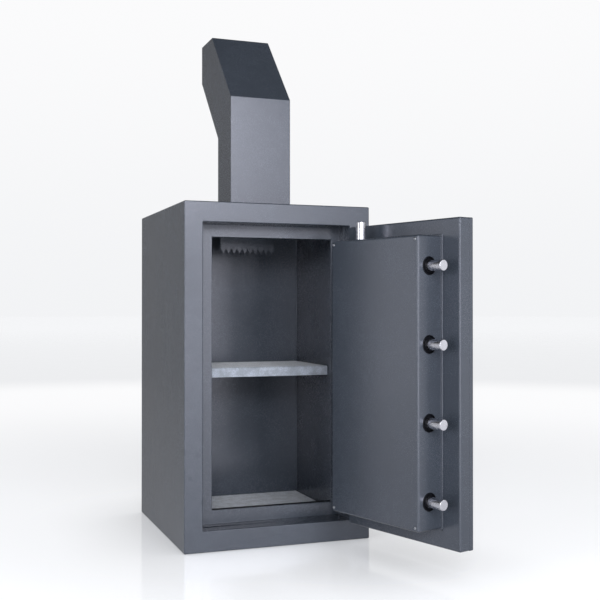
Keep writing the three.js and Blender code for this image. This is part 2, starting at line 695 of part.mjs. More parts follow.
function boltBar() {
  const upright = block(barX, [barLayer[0], barLayer[0] + bar.width],
    grow([boltZs[0], boltZs[boltZs.length - 1]], bar.margin));
  const eyeX = controlX - half;
  const eyeZ = [handleZ + slotReach[0] - link.thick, handleZ + slotReach[1] + link.thick];
  const eye = block([barX[0], eyeX + slotHalf + link.thick], barLayer, eyeZ);
  const slot = block(
    [eyeX - slotHalf, eyeX + slotHalf], grow(barLayer, PAST),
    [handleZ + slotReach[0], handleZ + slotReach[1]],
  );
  return upright.add(eye).subtract(slot);
}

function topBoltLink() {
  const top = panBox.z[1] + bolt.reach - boltLength - SEAT;
  const eyeZ = handleZ + half;
  const eyeLow = eyeZ - slotHalf - link.thick;
  const strap = block([topBoltX - link.width / 2, topBoltX + link.width / 2], linkLayer, [eyeLow, top]);
  const eye = block(
    [controlX + slotReach[0] - link.thick, topBoltX], linkLayer,
    [eyeLow, eyeZ + slotHalf + link.thick],
  );
  const foot = block(
    [topBoltX - link.width / 2, topBoltX + link.width / 2],
    [linkLayer[0], boltY + link.width / 2], [top - link.thick, top],
  );
  const slot = block(
    [controlX + slotReach[0], controlX + slotReach[1]], grow(linkLayer, PAST),
    [eyeZ - slotHalf, eyeZ + slotHalf],
  );
  return strap.add(eye).add(foot).subtract(slot);
}

place(doorGroup, 'cam_plate', camPlate(), 'steel', [controlX, 0, handleZ]);
place(doorGroup, 'bolt_bar', boltBar(), 'steel');
place(doorGroup, 'top_bolt_link', topBoltLink(), 'steel');

// Handle: a hub with three spokes, local frame with y = 0 on the slab's outer face
const hubFront = -handle.hubLength;
const spokeY = hubFront + handle.spokeDepth;

function handleHub() {
  const { hubRadius, hubNeck, hubLength, footRadius, spokes, spokeRoot, spokeSink } = handle;
  let hub = turned([
    [0, hubFront], [handle.hubFace, hubFront], [handle.hubCrown, hubFront + handle.crownDepth],
    [hubRadius, hubFront + handle.shoulderDepth], [hubRadius, hubFront + handle.gripDepth],
    [hubNeck, hubFront + handle.neckDepth], [hubNeck, -handle.footHeight],
    [footRadius, -handle.footEdge - SEAT], [footRadius, -SEAT], [0, -SEAT],
  ], 'y');
  hub = hub.subtract(rod(handle.spindle + SEAT, -hubLength / 2, PAST, 'y'));
  for (let i = 0; i < spokes; i += 1) {
    const socket = rod(spokeRoot + SEAT, hubRadius - spokeSink, hubRadius + PAST, 'x');
    const angle = 90 + (i * 360) / spokes;
    hub = hub.subtract(socket.translate(0, spokeY, 0).rotate(0, -angle, 0));
  }
  return hub;
}

// A spoke swells towards its round knob
function handleSpoke() {
  const { hubRadius, spokeRoot, spokeTip, spokeLength, swell, knob, knobFacets } = handle;
  const centre = spokeStart + spokeLength;
  const outline = [[0, spokeStart], [spokeRoot, spokeStart], [spokeRoot, hubRadius + swell]];
  const lift = Math.asin(spokeTip / knob);
  for (let i = 0; i <= knobFacets; i += 1) {
    const a = (Math.PI - lift) * (1 - i / knobFacets);
    outline.push([knob * Math.sin(a), centre + knob * Math.cos(a)]);
  }
  return turned(outline, 'x', SMALL_FACETS);
}

const spindleEnd = camY[1];
place(doorGroup, 'handle_hub', handleHub(), 'chrome', [controlX, slab.y[0], handleZ]);
place(doorGroup, 'handle_spindle',
  rod(handle.spindle, slab.y[0] - handle.hubLength / 2 + SEAT, spindleEnd, 'y'), 'steel',
  [controlX, 0, handleZ]);
for (let i = 0; i < handle.spokes; i += 1) {
  const spoke = place(doorGroup, `handle_spoke_${i + 1}`, handleSpoke(), 'chrome',
    [controlX, slab.y[0] + spokeY, handleZ]);
  spoke.rotation.y = -THREE.MathUtils.degToRad(90 + (i * 360) / handle.spokes);
}

// Combination dial: fixed ring, turning dial with a fluted knob, spindle and lock case
function dialRing() {
  const { radius, ringRadius, ringThick, ringBevel, ringBevelDepth } = dial;
  const bore = radius + RUNNING;
  return turned([
    [bore, -ringThick], [ringRadius - ringBevel, -ringThick], [ringRadius, ringBevelDepth - ringThick],
    [ringRadius, -SEAT], [bore, -SEAT], [bore, -ringThick],
  ], 'y', 2 * SMALL_FACETS);
}

function dialWheel() {
  const { radius, thick, bevel, knob, knobLength, flutes, flute } = dial;
  const face = -dial.ringThick - dial.proud;
  const back = thick - dial.ringThick;
  const disc = turned([
    [0, face], [radius - bevel, face], [radius, face + dial.bevelDepth], [radius, back], [0, back],
  ], 'y', 2 * SMALL_FACETS);
  const knobOutline = new THREE.Shape();
  const steps = flutes * dial.fluteFacets;
  for (let i = 0; i < steps; i += 1) {
    const a = (i / steps) * 2 * Math.PI;
    const r = knob - flute * (0.5 - 0.5 * Math.cos(a * flutes));
    knobOutline[i === 0 ? 'moveTo' : 'lineTo'](r * Math.cos(a), r * Math.sin(a));
  }
  knobOutline.closePath();
  const grip = sweep(knobOutline, [face - knobLength, face + dial.proud], 'y');
  return disc.add(grip)
    .subtract(rod(dial.spindle + SEAT, dial.spindleSink - dial.ringThick, PAST, 'y'));
}

const caseY = [slab.y[1] + SEAT, slab.y[1] + SEAT + lockCase.depth];

function lockBody() {
  const x = [controlX - lockCase.width / 2, controlX + lockCase.width / 2];
  const z = [dialZ - lockCase.height / 2, dialZ + lockCase.height / 2];
  const bore = rod(dial.spindle + SEAT, caseY[0] - PAST, caseY[0] + lockCase.bore, 'y');
  return roundedBlock(x, caseY, z, lockCase.edge, 2).subtract(bore.translate(controlX, 0, dialZ));
}

place(doorGroup, 'dial_ring', dialRing(), 'steel', [controlX, slab.y[0], dialZ]);
place(doorGroup, 'dial', dialWheel(), 'nylon', [controlX, slab.y[0], dialZ]);
place(doorGroup, 'dial_spindle',
  rod(dial.spindle, slab.y[0] + dial.spindleSink - dial.ringThick + SEAT,
    caseY[0] + lockCase.bore - SEAT, 'y'),
  'steel', [controlX, 0, dialZ]);
place(doorGroup, 'lock_case', lockBody(), 'steel');

export default safe;
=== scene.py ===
"""Gooseneck safe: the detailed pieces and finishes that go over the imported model.

Metres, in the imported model's frame: +Z is up and the door faces -Y. Pieces of the door are built
where they are with the door shut, and DOOR turns them to where it stands open.
"""

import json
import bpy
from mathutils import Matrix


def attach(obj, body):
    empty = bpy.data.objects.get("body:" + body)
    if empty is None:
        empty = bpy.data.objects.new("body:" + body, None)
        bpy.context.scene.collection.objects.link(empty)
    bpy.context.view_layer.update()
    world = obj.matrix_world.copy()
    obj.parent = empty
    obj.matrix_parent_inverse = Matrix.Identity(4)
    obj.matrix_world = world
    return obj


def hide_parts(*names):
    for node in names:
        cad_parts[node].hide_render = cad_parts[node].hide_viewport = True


bl_info = {
    "name": "Gooseneck safe",
    "version": (1, 0, 0),
    "blender": (4, 5, 0),
    "location": "3D View > Sidebar > Safe",
    "description": "Finishes and detailed pieces of a deposit safe with a gooseneck duct",
    "category": "Object",
}

from math import asin, atan2, cos, pi, radians, sin

import bmesh
import bpy
from bpy.props import FloatProperty, FloatVectorProperty, IntProperty, PointerProperty
from bpy.types import Operator, Panel, PropertyGroup
from mathutils import Matrix, Vector, noise

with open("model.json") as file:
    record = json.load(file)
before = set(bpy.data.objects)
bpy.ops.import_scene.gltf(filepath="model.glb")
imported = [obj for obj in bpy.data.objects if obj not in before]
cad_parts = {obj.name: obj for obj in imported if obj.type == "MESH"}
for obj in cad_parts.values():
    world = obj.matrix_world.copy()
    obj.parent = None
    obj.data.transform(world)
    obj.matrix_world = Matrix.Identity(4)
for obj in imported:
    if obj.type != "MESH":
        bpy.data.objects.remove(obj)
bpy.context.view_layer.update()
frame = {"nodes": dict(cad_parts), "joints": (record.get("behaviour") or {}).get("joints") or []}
NODES = frame["nodes"]
MM = 0.001
shift = Matrix.Translation

SWING = next(joint for joint in frame["joints"] if joint["name"] == "door_swing")
HINGE = Vector(SWING["pos_m"])
OPEN_ANGLE = radians(-SWING["range_deg"][0])
DOOR = shift(HINGE) @ Matrix.Rotation(OPEN_ANGLE, 4, "Z") @ shift(-HINGE)
UNMOVED = Matrix.Identity(4)
# Turns that put local Z along a direction
ALONG = {
    "x": Matrix.Rotation(radians(90), 4, "Y"),
    "y": Matrix.Rotation(radians(-90), 4, "X"),
    "down": Matrix.Rotation(pi, 4, "X"),
}

SILL_RISE = 35.5 * MM  # from the chamber floor to the top of the sill's lip
JAMB_LEFT = 43.0 * MM  # from the carpet's left edge to the doorway
JAMB_RIGHT = 22.5 * MM  # from the doorway to the carpet's right edge
RELIEF = 0.06 * MM  # how far the dial's marks stand out of its faces


class Box:
    """Lowest and highest corner of a CAD node, of a door node where it is with the door shut."""

    def __init__(self, node, place=UNMOVED):
        back = place.inverted()
        axes = list(zip(*(back @ vertex.co for vertex in NODES[node].data.vertices)))
        self.lo = Vector([min(axis) for axis in axes])
        self.hi = Vector([max(axis) for axis in axes])
        self.middle = (self.lo + self.hi) / 2
        self.size = self.hi - self.lo


def linear(red, green, blue):
    """A colour as it reads on a screen, 0 to 255, as the linear values a shader takes."""
    values = (channel / 255 for channel in (red, green, blue))
    return tuple(v / 12.92 if v <= 0.04045 else ((v + 0.055) / 1.055) ** 2.4 for v in values)


def fill(made, **values):
    """Sets many attributes at once."""
    for name, value in values.items():
        setattr(made, name, value)
    return made


# Settings


def a_colour(name, description, default):
    return FloatVectorProperty(
        name=name, description=description, subtype="COLOR", min=0, max=1, default=default,
    )


def a_length(name, description, default, low, high):
    """A length in metres, given here in millimetres."""
    return FloatProperty(
        name=name, description=description, subtype="DISTANCE", unit="LENGTH",
        default=default * MM, min=low * MM, max=high * MM,
    )


def a_power(name, lamp, default):
    return FloatProperty(
        name=name, description=f"Power of the {lamp}", subtype="POWER", unit="POWER",
        default=default, min=0, max=2000,
    )


def a_level(name, description, default, high=1):
    return FloatProperty(name=name, description=description, default=default, min=0, max=high)


class FinishSettings(PropertyGroup):
    outer: a_colour("Outer paint", "Graphite paint on the body, door and duct", linear(65, 71, 80))
    chamber: a_colour("Chamber paint", "Paint inside the chamber", linear(66, 72, 81))
    grain: a_length("Paint grain", "Width of one grain of the textured paint", 1.5, 0.2, 10)
    carpet: a_colour("Carpet", "Middle colour of the carpet's fibres", linear(184, 191, 203))
    tuft: a_length("Tuft", "Distance between the tufts of the carpet", 2.2, 0.5, 10)
    chrome: a_colour("Chrome", "Plating of the bolts and the handle", linear(206, 206, 213))
    steel: a_colour("Steel", "Bare and brushed steel", linear(168, 170, 175))
    nylon: a_colour("Nylon", "Black bushings and dial", linear(13, 14, 19))
    composite: a_colour("Composite", "Cast filling of walls and door", linear(154, 151, 143))
    mark: a_colour("Dial marks", "Graduations and numbers of the dial", linear(232, 232, 228))


class SizeSettings(PropertyGroup):
    body_edge: a_length("Body edge", "Rounding of the cabinet's plate edges", 2.2, 0.1, 4)
    sheet_edge: a_length("Sheet edge", "Rounding of thin sheet edges", 0.5, 0.1, 2)
    pile: a_length("Pile", "How far the carpet's tufts stand above each other", 0.9, 0, 3)
    bead: a_length("Weld bead", "Radius of the weld beads", 2.2, 0.5, 5)
    facets: IntProperty(
        name="Facets", description="Sides of a round piece", default=64, min=16, max=256,
    )
    dial_marks: IntProperty(
        name="Dial marks", description="Graduations round the dial", default=100, min=10, max=200,
    )
    number_height: a_length("Number height", "Height of the dial's numbers", 5.5, 1, 10)


class StageSettings(PropertyGroup):
    floor: a_colour("Floor", "Floor near the safe", linear(243, 244, 246))
    edge: a_colour("Floor edge", "Bright far edge of the floor", linear(254, 254, 255))
    horizon: a_colour("Horizon", "Backdrop at the horizon", linear(242, 243, 245))
    top: a_colour("Backdrop top", "Backdrop high above the horizon", linear(251, 251, 252))
    front: a_power("Front lamp", "wide lamp behind the camera", 116)
    front_middle: a_power("Front middle lamp", "dim lamp under the front lamp", 14.5)
    front_foot: a_power("Front foot lamp", "strip lamp near the floor", 17)
    front_right: a_power("Front right lamp", "upright lamp beside the front lamps", 16.5)
    high: a_power("High lamp", "lamp high in front", 21)
    left: a_power("Left lamp", "upright lamp on the left", 30)
    right: a_power("Right lamp", "upright lamp on the right", 8.5)
    left_rear: a_power("Left rear lamp", "lamp behind on the left", 7)
    lamp_colour: a_colour("Lamp colour", "Colour of the light from the lamps", (0.95, 0.965, 1.0))
    ambient: a_level("Ambient", "Level of the light from all round", 0.3, high=3)
    mirrored: a_level("Mirrored backdrop", "Level of the backdrop in glossy surfaces", 0.35)
    mirrored_floor: a_level("Mirrored floor", "Level of the floor in glossy surfaces", 0.14)
    mirrored_front: a_level("Mirrored front", "Level added by the wall behind the camera", 0.17)


# Shader maths


class Wire:
    """An output of a node. Arithmetic on it adds Math nodes."""

    def __init__(self, shader, socket):
        self.shader = shader
        self.socket = socket

    def math(self, operation, first, second):
        return self.shader.node("ShaderNodeMath", {0: first, 1: second}, operation=operation)

    def __add__(self, other):
        return self.math("ADD", self, other)

    def __sub__(self, other):
        return self.math("SUBTRACT", self, other)

    def __rsub__(self, other):
        return self.math("SUBTRACT", other, self)

    def __mul__(self, other):
        return self.math("MULTIPLY", self, other)

    def __truediv__(self, other):
        return self.math("DIVIDE", self, other)

    def __rtruediv__(self, other):
        return self.math("DIVIDE", other, self)

    __radd__ = __add__
    __rmul__ = __mul__

    def rise(self, low, high):
        """0 below low, 1 above high and a smooth step between them."""
        levels = {"Value": self, "From Min": low, "From Max": high}
        return self.shader.node("ShaderNodeMapRange", levels, interpolation_type="SMOOTHSTEP")


class Shader:
    """The node tree of a material or of the world."""

    def __init__(self, owner):
        owner.use_nodes = True
        self.tree = owner.node_tree
        self.tree.nodes.clear()

    def put(self, socket, value):
        if isinstance(value, Wire):
            self.tree.links.new(value.socket, socket)
        elif socket.type == "RGBA":
            socket.default_value = (*value, 1)
        else:
            socket.default_value = value

    def node(self, kind, inputs=None, output=0, **settings):
        made = fill(self.tree.nodes.new(kind), **settings)
        for socket, value in (inputs or {}).items():
            self.put(made.inputs[socket], value)
        return Wire(self, made.outputs[output]) if len(made.outputs) else None

    def place(self, stretch=(1, 1, 1)):
        """Place on the piece in metres, stretched along its axes."""
        spot = self.node("ShaderNodeTexCoord", output="Object")
        return self.node("ShaderNodeVectorMath", {0: spot, 1: stretch}, operation="MULTIPLY")

    def noise(self, width, detail=2.0, roughness=0.5, stretch=(1, 1, 1)):
        return self.node("ShaderNodeTexNoise", {
            "Vector": self.place(stretch), "Scale": 1 / width,
            "Detail": detail, "Roughness": roughness,
        })

    def mix(self, factor, first, second):
        return self.node("ShaderNodeMix", {0: factor, 6: first, 7: second}, 2, data_type="RGBA")

    def bump(self, height, depth, strength):
        inputs = {"Height": height, "Distance": depth, "Strength": strength}
        return self.node("ShaderNodeBump", inputs)

    def rays(self):
        """1 on what the camera sees, and 1 on what it sees in a mirror or through glass."""
        path = "ShaderNodeLightPath"
        glossy = self.node(path, output="Is Glossy Ray")
        through = self.node(path, output="Is Transmission Ray")
        return self.node(path, output="Is Camera Ray"), glossy + through

    def surface(self, inputs):
        look = self.node("ShaderNodeBsdfPrincipled", inputs)
        self.node("ShaderNodeOutputMaterial", {"Surface": look})


# Finishes. Widths and depths are in metres, and the limits of a rise are levels of the noise.


def shade(colour, level):
    """The colour, lighter above a level of 1 and darker below it."""
    return tuple(min(1.0, channel * level) for channel in colour)


def textured_paint(shader, colour):
    """Powder paint: fine grains, a slow drift in tone and a few rubbed patches."""
    grain = shader.noise(bpy.context.scene.safe_finish.grain)
    drift = shader.noise(0.16, detail=3)
    rubbed = shader.noise(0.045, detail=4, roughness=0.6).rise(0.56, 0.72)
    tone = shader.mix(drift.rise(0.3, 0.7), shade(colour, 0.94), shade(colour, 1.05))
    speckled = shader.mix((1 - grain.rise(0.3, 0.6)) * 0.22, tone, shade(colour, 0.7))
    shader.surface({
        "Base Color": speckled,
        "Roughness": 0.26 + (grain - 0.5) * 0.12 - rubbed * 0.03 + (drift - 0.5) * 0.06,
        "Specular IOR Level": 0.85,
        "Specular Tint": (0.9, 0.9, 1.0),
        "Normal": shader.bump(grain, 0.18 * MM, 0.5),
    })


def chrome_plate(shader, colour):
    """Satin plating with a faint polishing grain and a few dull spots."""
    dull = shader.noise(0.012, detail=3).rise(0.5, 0.8)
    grain = shader.noise(0.4 * MM)
    shader.surface({
        "Base Color": shader.mix(dull * 0.35, colour, shade(colour, 0.82)),
        "Metallic": 1.0,
        "Roughness": 0.25 + dull * 0.08 + (grain - 0.5) * 0.05,
        "Normal": shader.bump(grain, 0.006 * MM, 0.25),
    })


def brushed_steel(shader, colour):
    """Rolled steel with upright brushing and darker stains."""
    brushing = shader.noise(0.35 * MM, stretch=(1, 1, 0.03))
    stain = shader.noise(0.03, detail=4, roughness=0.6).rise(0.45, 0.75)
    shader.surface({
        "Base Color": shader.mix(stain * 0.5, colour, shade(colour, 0.68)),
        "Metallic": 1.0,
        "Roughness": 0.27 + (brushing - 0.5) * 0.18 + stain * 0.12,
        "Normal": shader.bump(brushing, 0.03 * MM, 0.4),
    })


def black_nylon(shader, colour):
    """Moulded nylon: fine pits and a slight bloom."""
    pits = shader.noise(0.7 * MM)
    bloom = shader.noise(0.009, detail=3).rise(0.45, 0.75)
    shader.surface({
        "Base Color": shader.mix(bloom * 0.5, colour, shade(colour, 2.2)),
        "Roughness": 0.34 + (pits - 0.5) * 0.2 + bloom * 0.1,
        "Specular IOR Level": 0.15,
        "Normal": shader.bump(pits, 0.05 * MM, 0.5),
    })


def pile_carpet(shader, colour):
    """Short cut pile: tufts with painted shade between them, single fibres, and painted lighter
    and darker patches of leaning pile.
    """
    width = bpy.context.scene.safe_finish.tuft
    tuft = shader.noise(width, roughness=0.6)
    fibre = shader.noise(width / 5)
    # Painted light and shade: patches lighter and darker, as pile that leans another way catches
    # the light
    pile_lean_shade = shader.noise(0.022, detail=3, roughness=0.6).rise(0.36, 0.64)
    light = shader.mix(pile_lean_shade, shade(colour, 0.76), shade(colour, 1.13))
    # Painted shade: darker where the tufts are low, in the hollows between them
    hollow_shaded = shader.mix((1 - tuft.rise(0.34, 0.56)) * 0.8, light, shade(colour, 0.55))
    flecked = shader.mix(fibre.rise(0.5, 0.72) * 0.45, hollow_shaded, shade(colour, 1.3))
    shader.surface({
        "Base Color": flecked,
        "Roughness": 0.92 + (fibre - 0.5) * 0.12,
        "Sheen Weight": 0.5,
        "Sheen Roughness": 0.4,
        "Specular IOR Level": 0.2,
        "Normal": shader.bump(tuft * 0.7 + fibre * 0.3, 1.2 * MM, 0.8),
    })


def cast_composite(shader, colour):
    """Cast filling with crushed stone in it."""
    stone = shader.node("ShaderNodeTexVoronoi", {
        "Vector": shader.place(), "Scale": 1 / (7 * MM), "Randomness": 0.9,
    })
    sand = shader.noise(0.9 * MM, detail=3)
    body = shader.mix(stone.rise(0.25, 0.45), shade(colour, 0.6), colour)
    shader.surface({
        "Base Color": shader.mix(sand.rise(0.55, 0.7) * 0.5, body, shade(colour, 1.25)),
        "Roughness": 0.9 + (sand - 0.5) * 0.15,
        "Normal": shader.bump(sand + stone * 0.4, 0.5 * MM, 0.7),
    })


def dial_enamel(shader, colour):
    """White enamel filled into the engraving."""
    wear = shader.noise(1.2 * MM, detail=3).rise(0.55, 0.8)
    shader.surface({
        "Base Color": shader.mix(wear * 0.4, colour, shade(colour, 0.7)),
        "Roughness": 0.4 + wear * 0.2,
        "Normal": shader.bump(wear, 0.02 * MM, 0.4),
    })


# Look and colour of each of the record's material slots, and of the marks on the dial
FINISHES = {
    "paint": (textured_paint, "outer"),
    "chamber_paint": (textured_paint, "chamber"),
    "chrome": (chrome_plate, "chrome"),
    "steel": (brushed_steel, "steel"),
    "nylon": (black_nylon, "nylon"),
    "carpet": (pile_carpet, "carpet"),
    "composite": (cast_composite, "composite"),
    "enamel": (dial_enamel, "mark"),
}


def material(slot):
    name = f"safe_{slot}"
    made = bpy.data.materials.get(name)
    if made is None:
        made = bpy.data.materials.new(name)
        look, colour = FINISHES[slot]
        look(Shader(made), getattr(bpy.context.scene.safe_finish, colour))
    return made


# Outlines and places


def in_mm(pairs):
    """Pairs of millimetres as pairs of metres."""
    return [(a * MM, b * MM) for a, b in pairs]


def even(start, end, steps):
    """Evenly spaced values, both ends included."""
    return [start + (end - start) * i / steps for i in range(steps + 1)]


def quarter(steps):
    """Angles of a quarter turn."""
    return even(0, pi / 2, steps)


def circle(radius, count, height=0.0):
    """Points round Z, from the X axis on."""
    turns = (2 * pi * i / count for i in range(count))
    return [Vector((radius * cos(a), radius * sin(a), height)) for a in turns]


def rectangle(left, right, low, high):
    return [(left, low), (right, low), (right, high), (left, high)]


def barrel(bore, radius, low, high, chamfer):
    """Outline of a tube or, with no bore, of a rod, with chamfered ends."""
    return [
        (bore, low), (radius - chamfer, low), (radius, low + chamfer),
        (radius, high - chamfer), (radius - chamfer, high), (bore, high),
    ]


def upright(x, y, low, high):
    """A path straight up."""
    return [Vector((x, y, low)), Vector((x, y, high))]


def pointing(direction, spot):
    """Puts local Z along a direction at a spot."""
    return shift(spot) @ direction.to_track_quat("Z", "Y").to_matrix().to_4x4()


# Objects


def soften(obj, width, segments=2):
    """Rounds the sharp edges and keeps the broad faces flat in shading."""
    if width:
        fill(
            obj.modifiers.new("round edges", "BEVEL"), width=width, segments=segments,
            limit_method="ANGLE", angle_limit=radians(40), use_clamp_overlap=False,
            miter_outer="MITER_ARC",
        )
    fill(obj.modifiers.new("flat faces", "WEIGHTED_NORMAL"), keep_sharp=True, weight=80)


def dress(node, slot, edge=0.0, segments=2):
    """Gives a CAD node its finish, and rounds its edges with modifiers alone."""
    obj = NODES[node]
    obj.data.materials.clear()
    obj.data.materials.append(material(slot))
    obj.data.polygons.foreach_set("material_index", [0] * len(obj.data.polygons))
    obj.data.shade_smooth()
    fill(obj.modifiers.new("join corners", "WELD"), merge_threshold=0.01 * MM)
    flat = obj.modifiers.new("join flat faces", "DECIMATE")
    fill(flat, decimate_type="DISSOLVE", angle_limit=radians(0.6))
    soften(obj, edge, segments)


def add_object(name, data):
    obj = bpy.data.objects.new(name, data)
    bpy.context.scene.collection.objects.link(obj)
    return obj


def piece(name, mesh, slot, body, place=UNMOVED, replaces=(), edge=0.0, sharp=35, finish=None):
    """Makes an object of a bmesh, puts it in place and lets it ride on its body.

    Edges steeper than sharp, in degrees, stay sharp in shading.
    """
    data = bpy.data.meshes.new(name)
    mesh.transform(place)
    bmesh.ops.recalc_face_normals(mesh, faces=mesh.faces)
    mesh.to_mesh(data)
    mesh.free()
    data.materials.append(material(finish or slot))
    data.shade_smooth()
    data.set_sharp_from_angle(angle=radians(sharp))
    obj = add_object(name, data)
    if edge:
        soften(obj, edge)
    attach(obj, body)
    if replaces:
        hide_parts(*replaces)
    return obj


# Mesh tools


def neighbours(items, closed=False):
    """Pairs of items that follow each other, round to the first where it closes."""
    return zip(items, items[1:] + items[:1] if closed else items[1:])


def stitch(mesh, low, high, closed=False):
    """Adds the faces between two rows of as many vertices."""
    for (a, b), (c, d) in zip(neighbours(low, closed), neighbours(high, closed)):
        mesh.faces.new((a, b, d, c))


def add_grid(mesh, points, closed_rows=False):
    """Adds a surface from rows of points."""
    rows = [[mesh.verts.new(point) for point in row] for row in points]
    for low, high in neighbours(rows):
        stitch(mesh, low, high, closed_rows)
    return rows


def add_capped(mesh, points):
    """Adds a body from closed rows of points, capped at both ends."""
    rows = add_grid(mesh, points, closed_rows=True)
    mesh.faces.new(rows[0])
    mesh.faces.new(rows[-1])


def add_turned(mesh, outline, facets):
    """Adds a turned solid. The outline is a closed run of (radius, height) pairs round Z."""
    on_axis = 1e-7
    rings = []
    for radius, height in outline:
        points = [Vector((0, 0, height))] if radius < on_axis else circle(radius, facets, height)
        rings.append([mesh.verts.new(point) for point in points])
    for low, high in neighbours(rings, closed=True):
        if len(low) == 1 and len(high) == 1:
            continue
        for i in range(facets):
            j = (i + 1) % facets
            corners = (
                low[i % len(low)], low[j % len(low)], high[j % len(high)], high[i % len(high)],
            )
            mesh.faces.new(list(dict.fromkeys(corners)))


def turned(outline, facets):
    mesh = bmesh.new()
    add_turned(mesh, outline, facets)
    return mesh


def add_prism(mesh, outline, low, high, place=UNMOVED):
    """Adds an outline in (x, y) drawn out along Z."""
    ends = [[mesh.verts.new(place @ Vector((x, y, z))) for x, y in outline] for z in (low, high)]
    mesh.faces.new(ends[0][::-1])
    mesh.faces.new(ends[1])
    stitch(mesh, *ends, closed=True)


def add_bead(mesh, path, radius, closed=False, ripple=1.7 * MM, uneven=1.0):
    """Adds a bead: a rippled rope along a path of corners."""
    sides, steps_per_ripple = 10, 4
    ripple_share, wander_share, wanders_per_metre = 0.09, 0.1, 240
    rings = []
    for start, end in neighbours(path, closed):
        run = end - start
        steps = max(2, round(run.length / (ripple / steps_per_ripple)))
        across = run.orthogonal().normalized()
        other = run.normalized().cross(across)
        for step in range(steps if closed else steps + 1):
            spot = start + run * (step / steps)
            wave = sin(2 * pi * step * run.length / steps / ripple)
            wander = noise.noise(spot * wanders_per_metre)
            size = radius * (1 + (ripple_share * wave + wander_share * wander) * uneven)
            rings.append([
                mesh.verts.new(spot + point.x * across + point.y * other)
                for point in circle(size, sides)
            ])
    for low, high in neighbours(rings, closed):
        stitch(mesh, low, high, closed=True)
    if not closed:
        mesh.faces.new(rings[0])
        mesh.faces.new(rings[-1])


def beads(name, body, paths, radius, place=UNMOVED, slot="paint", finish=None, **ways):
    """Makes a piece of one or more beads."""
    mesh = bmesh.new()
    for path in paths:
        add_bead(mesh, path, radius, **ways)
    piece(name, mesh, slot, body, place, finish=finish)


# Operators


